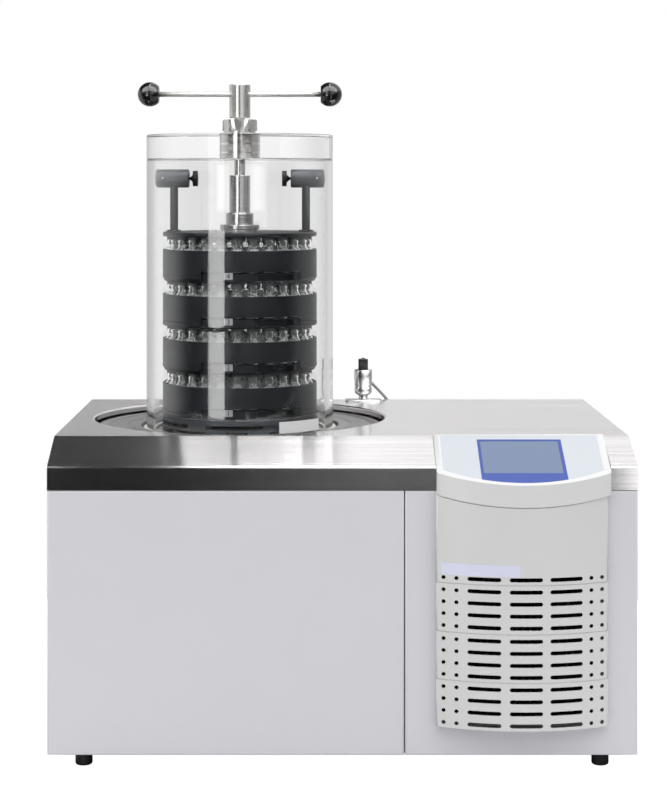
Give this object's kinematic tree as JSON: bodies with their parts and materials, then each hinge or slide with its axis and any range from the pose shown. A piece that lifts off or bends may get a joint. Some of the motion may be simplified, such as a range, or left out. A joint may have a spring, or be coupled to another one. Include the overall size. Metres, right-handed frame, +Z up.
{
  "type": "freeze dryer",
  "caption": "Bench freeze dryer with a clear drying chamber, loaded shelf rack, stoppering spindle, sloping console and low refrigerated cabinet.",
  "frame": {"origin": "middle of the footprint, on the surface that the feet stand on", "axes": "+X to the right seen from the front, +Y to the back, +Z up; the front faces -Y"},
  "size_m": [0.78, 0.614, 0.9264],
  "materials": {
    "painted_panel": "fine textured light grey powder coat",
    "stainless": "brushed along the width",
    "turned_steel": "turned and polished stainless",
    "black_rubber": "matt",
    "foam": "closed-cell foam",
    "grey_plate": "matt grey",
    "seal": "smooth pale silicone",
    "acrylic": "clear polished acrylic",
    "dark_anodised": "dark anodised",
    "grey_anodised": "slate grey anodised",
    "vial_glass": "clear tubular glass",
    "stopper_rubber": "matt grey",
    "black_knob": "high gloss",
    "console_plastic": "fine moulded texture",
    "film": "printed overlay film",
    "screen": "unlit display",
    "sensor_metal": "turned stainless",
    "black_plastic": "moulded",
    "cable_grey": "soft cable sheath",
    "copper": "drawn copper",
    "black_steel": "semi-gloss black",
    "zinc": "galvanised sheet"
  },
  "bodies": {
    "housing": {"base_tray": "zinc", "chamber_lid": "acrylic", "chamber_seal": "seal", "chamber_tube": "acrylic", "compressors": "black_steel", "console_housing": "console_plastic", "control_box": "zinc", "display": "screen", "drain_valve": "turned_steel", "evaporator_coil": "turned_steel", "fan_housing": "black_steel", "feet": "black_rubber", "front_panel_left": "painted_panel", "front_panel_right": "painted_panel", "grille_cover": "console_plastic", "guide_rods": "grey_anodised", "heat_exchanger": "zinc", "ice_pot": "stainless", "lid_bush": "turned_steel", "lid_seal": "seal", "mains_inlet": "black_plastic", "overlay_film": "film", "pot_insulation": "foam", "rack_base": "dark_anodised", "rear_panel": "painted_panel", "refrigerant_pipes": "copper", "sensor_body": "sensor_metal", "sensor_cable": "cable_grey", "sensor_cap": "black_plastic", "sensor_plug": "black_plastic", "shelf_1": "dark_anodised", "side_panels": "painted_panel", "stoppers_1": "stopper_rubber", "top_cover": "stainless", "tray_ring_1": "dark_anodised", "vacuum_port": "turned_steel", "vials_1": "vial_glass", "well_plate": "grey_plate"},
    "level_2": {"shelf_2": "dark_anodised", "tray_ring_2": "dark_anodised", "vials_2": "vial_glass", "stoppers_2": "stopper_rubber"},
    "level_3": {"shelf_3": "dark_anodised", "tray_ring_3": "dark_anodised", "vials_3": "vial_glass", "stoppers_3": "stopper_rubber"},
    "level_4": {"shelf_4": "dark_anodised", "tray_ring_4": "dark_anodised", "vials_4": "vial_glass", "stoppers_4": "stopper_rubber"},
    "press": {"pressure_plate": "dark_anodised", "press_sleeve": "turned_steel"},
    "spindle": {"spindle": "turned_steel", "tee_bar": "turned_steel", "ball_knobs": "black_knob"},
    "clamp_left": {"clamp_screw_left": "grey_anodised"},
    "clamp_right": {"clamp_screw_right": "grey_anodised"},
    "fan": {"fan_rotor": "black_plastic"},
    "drain_lever": {"drain_lever": "black_plastic"},
    "mains_rocker": {"mains_rocker": "black_knob"}
  },
  "joints": [
    {"name": "press_slide", "type": "slide", "parent": "housing", "child": "press", "axis": [0, 0, 1], "range_m": [0, 0.0201]},
    {"name": "handle_turn", "type": "hinge", "parent": "press", "child": "spindle", "pos_m": [-0.1466, 0.035, 0.8], "axis": [0, 0, 1], "range_deg": [0, 1800]},
    {"name": "level_4_slide", "type": "slide", "parent": "housing", "child": "level_4", "axis": [0, 0, 1], "range_m": [0, 0.0151]},
    {"name": "level_3_slide", "type": "slide", "parent": "housing", "child": "level_3", "axis": [0, 0, 1], "range_m": [0, 0.0101]},
    {"name": "level_2_slide", "type": "slide", "parent": "housing", "child": "level_2", "axis": [0, 0, 1], "range_m": [0, 0.0051]},
    {"name": "clamp_left_turn", "type": "hinge", "parent": "housing", "child": "clamp_left", "pos_m": [-0.2166, 0.035, 0.7845], "axis": [1, 0, 0], "range_deg": [0, 720]},
    {"name": "clamp_right_turn", "type": "hinge", "parent": "housing", "child": "clamp_right", "pos_m": [-0.0766, 0.035, 0.7845], "axis": [1, 0, 0], "range_deg": [0, 720]},
    {"name": "fan_turn", "type": "hinge", "parent": "housing", "child": "fan", "pos_m": [0.236, -0.186, 0.1495], "axis": [0, 1, 0], "continuous": true},
    {"name": "drain_turn", "type": "hinge", "parent": "housing", "child": "drain_lever", "pos_m": [-0.1466, 0.283, 0.09], "axis": [0, 0, 1], "range_deg": [0, 90]},
    {"name": "mains_rock", "type": "hinge", "parent": "housing", "child": "mains_rocker", "pos_m": [0.166, 0.2642, 0.088], "axis": [1, 0, 0], "range_deg": [0, 14]}
  ],
  "couplings": [
    {"joint": "press_slide", "follows": "handle_turn", "m_per_rad": 0.00063662},
    {"joint": "level_4_slide", "follows": "handle_turn", "m_per_rad": 0.00047746},
    {"joint": "level_3_slide", "follows": "handle_turn", "m_per_rad": 0.00031831},
    {"joint": "level_2_slide", "follows": "handle_turn", "m_per_rad": 0.00015915}
  ]
}
